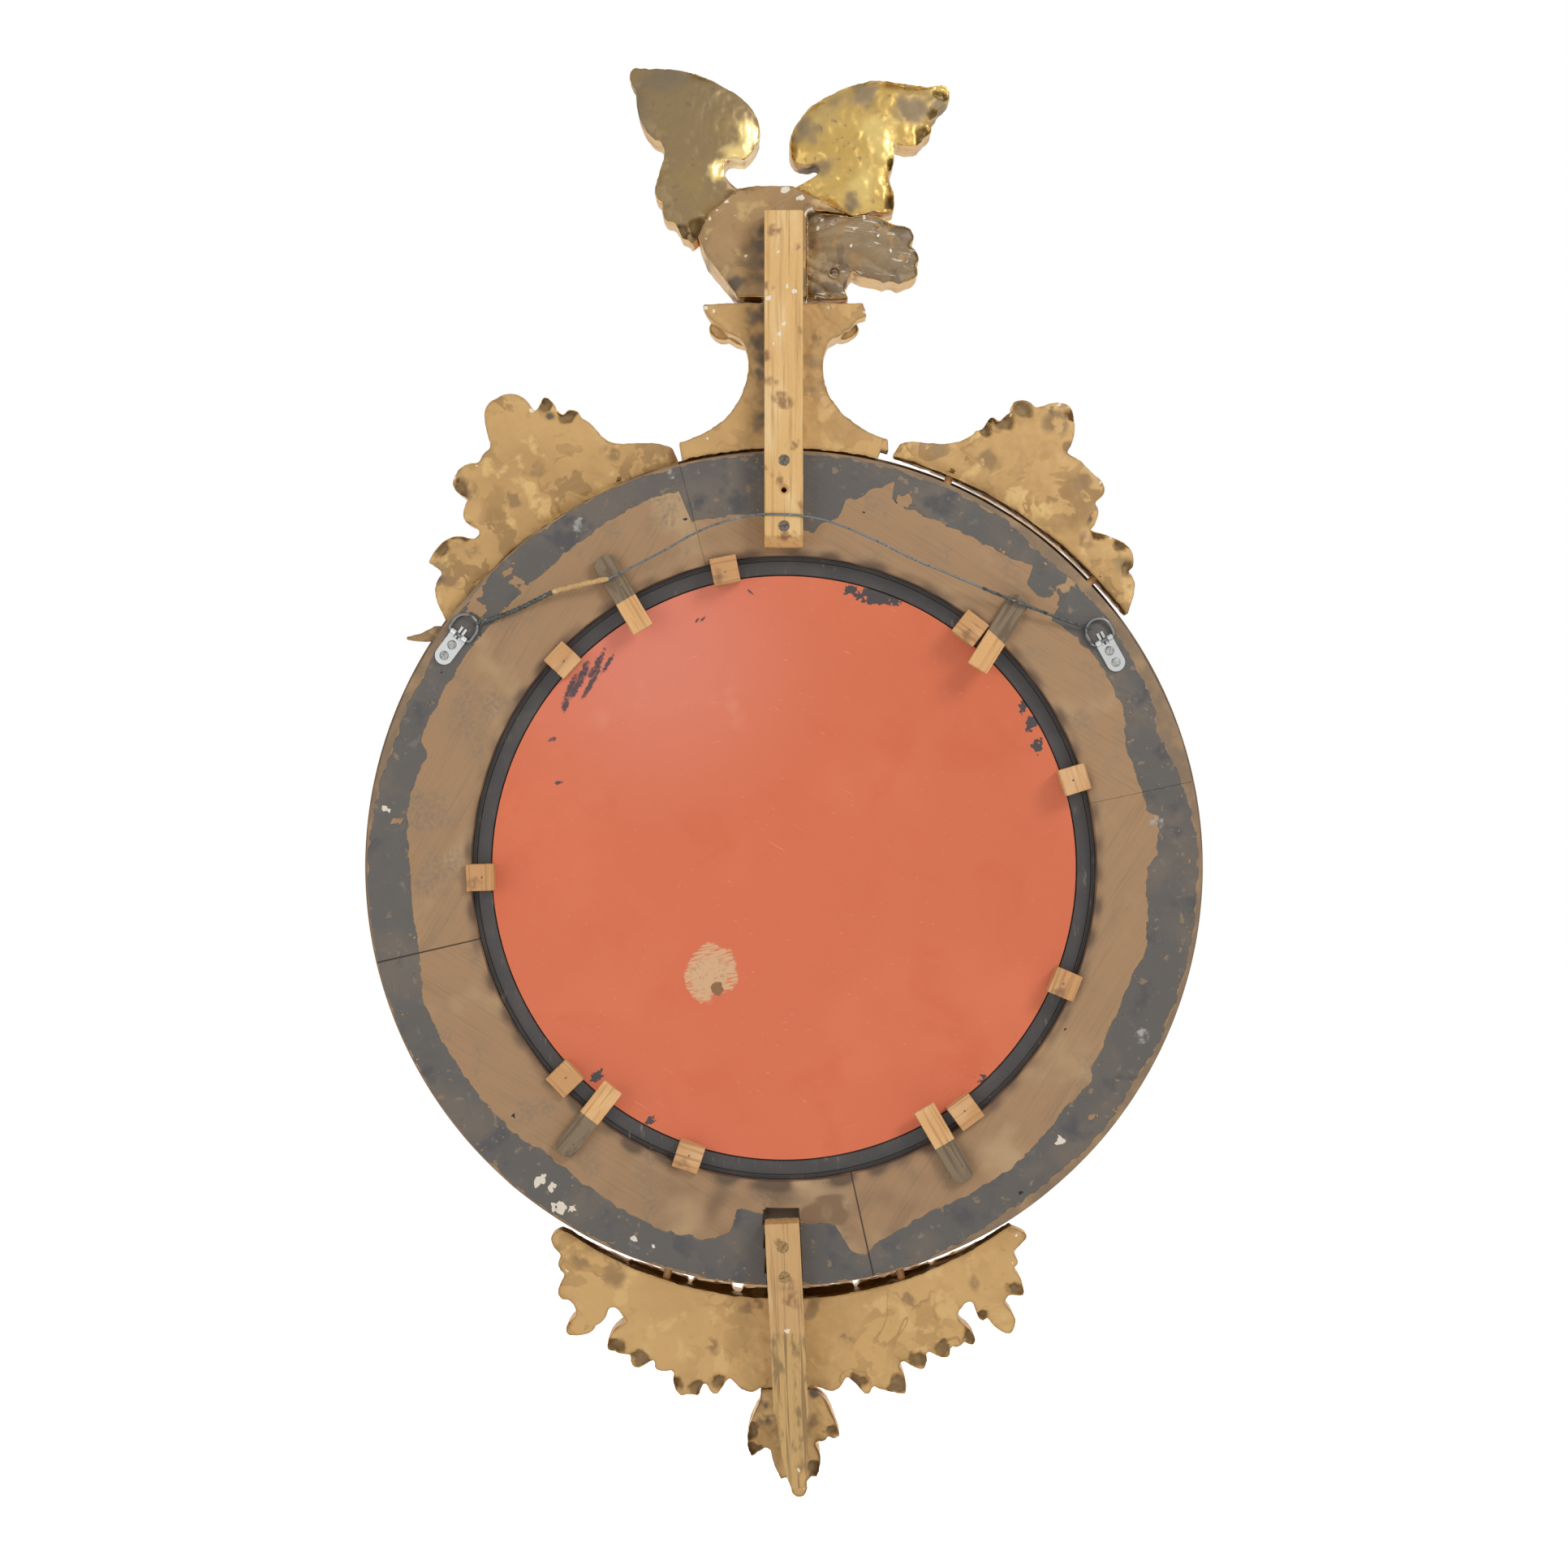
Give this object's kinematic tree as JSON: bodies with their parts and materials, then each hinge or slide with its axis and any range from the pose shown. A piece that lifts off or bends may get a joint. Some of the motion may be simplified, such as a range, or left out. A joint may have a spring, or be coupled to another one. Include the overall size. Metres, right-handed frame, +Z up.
{
  "type": "girandole mirror",
  "caption": "Round convex girandole mirror in a carved giltwood frame with eagle crest, side leaves, apron and pendant, hung by a wire from two D-rings on its back.",
  "frame": {"origin": "where the hanging wire bears on its hook, on the middle of the upper batten's back, which is the wall plane", "axes": "+Z up, +Y out of the back into the wall, +X to the right as seen from the front; the glass faces -Y"},
  "size_m": [0.7599, 0.1199, 1.281],
  "materials": {
    "ring_wood": "old stained softwood, part painted dull grey",
    "pine": "bare aged pine",
    "gilt_wood": "carved wood and gesso, water gilt on the front, toned tan on the back",
    "ebonised_wood": "black stained and polished",
    "mirror_glass": "convex silvered plate",
    "red_backing": "matt orange-red paint, scuffed",
    "masking_tape": "creased crepe tape",
    "galvanised_wire": "dull twisted strands",
    "plated_steel": "bright plated steel"
  },
  "bodies": {
    "mirror": {"apron": "gilt_wood", "backing_sheet": "red_backing", "bracket_dowels": "pine", "broken_leaf_tip": "gilt_wood", "clip_brads": "plated_steel", "cove_balls": "gilt_wood", "cove_moulding": "gilt_wood", "crest_plinth": "gilt_wood", "eagle_body": "gilt_wood", "eagle_feet": "gilt_wood", "eagle_head": "gilt_wood", "eagle_tail": "gilt_wood", "eagle_wing_left": "gilt_wood", "eagle_wing_right": "gilt_wood", "ebonised_slip": "ebonised_wood", "frame_segment_lower_left": "ring_wood", "frame_segment_lower_right": "ring_wood", "frame_segment_upper_left": "ring_wood", "frame_segment_upper_right": "ring_wood", "glass_clip_lower_left": "pine", "glass_clip_lower_right": "pine", "glass_clip_upper_left": "pine", "glass_clip_upper_right": "pine", "glue_block_1": "pine", "glue_block_2": "pine", "glue_block_3": "pine", "glue_block_4": "pine", "glue_block_5": "pine", "glue_block_6": "pine", "glue_block_7": "pine", "glue_block_8": "pine", "glue_block_9": "pine", "hanger_screws_left": "plated_steel", "hanger_screws_right": "plated_steel", "hanger_strap_left": "plated_steel", "hanger_strap_right": "plated_steel", "hanging_wire": "galvanised_wire", "inner_bead": "gilt_wood", "leaf_bracket_left": "gilt_wood", "leaf_bracket_right": "gilt_wood", "lower_batten": "pine", "lower_batten_screws": "plated_steel", "mirror_plate": "mirror_glass", "pendant_drop": "gilt_wood", "reeded_outer_band": "gilt_wood", "rockwork": "gilt_wood", "upper_batten": "pine", "upper_batten_screws": "plated_steel", "wire_doubled_end": "galvanised_wire", "wire_tape_wrap": "masking_tape", "wire_twisted_tail": "galvanised_wire"},
    "right_ring": {"d_ring_right": "plated_steel", "wire_eye_right": "galvanised_wire"},
    "left_ring": {"d_ring_left": "plated_steel", "wire_eye_left": "galvanised_wire"}
  },
  "joints": [
    {"name": "right_ring_swing", "type": "hinge", "parent": "mirror", "child": "right_ring", "pos_m": [0.28904, -0.0213, -0.10599], "axis": [-0.8039, 0, -0.5948], "range_deg": [0, 160], "deforming": ["wire_twisted_tail"]},
    {"name": "left_ring_swing", "type": "hinge", "parent": "mirror", "child": "left_ring", "pos_m": [-0.28437, -0.0213, -0.11046], "axis": [-0.8746, 0, 0.4848], "range_deg": [0, 160], "deforming": ["wire_doubled_end"]}
  ]
}
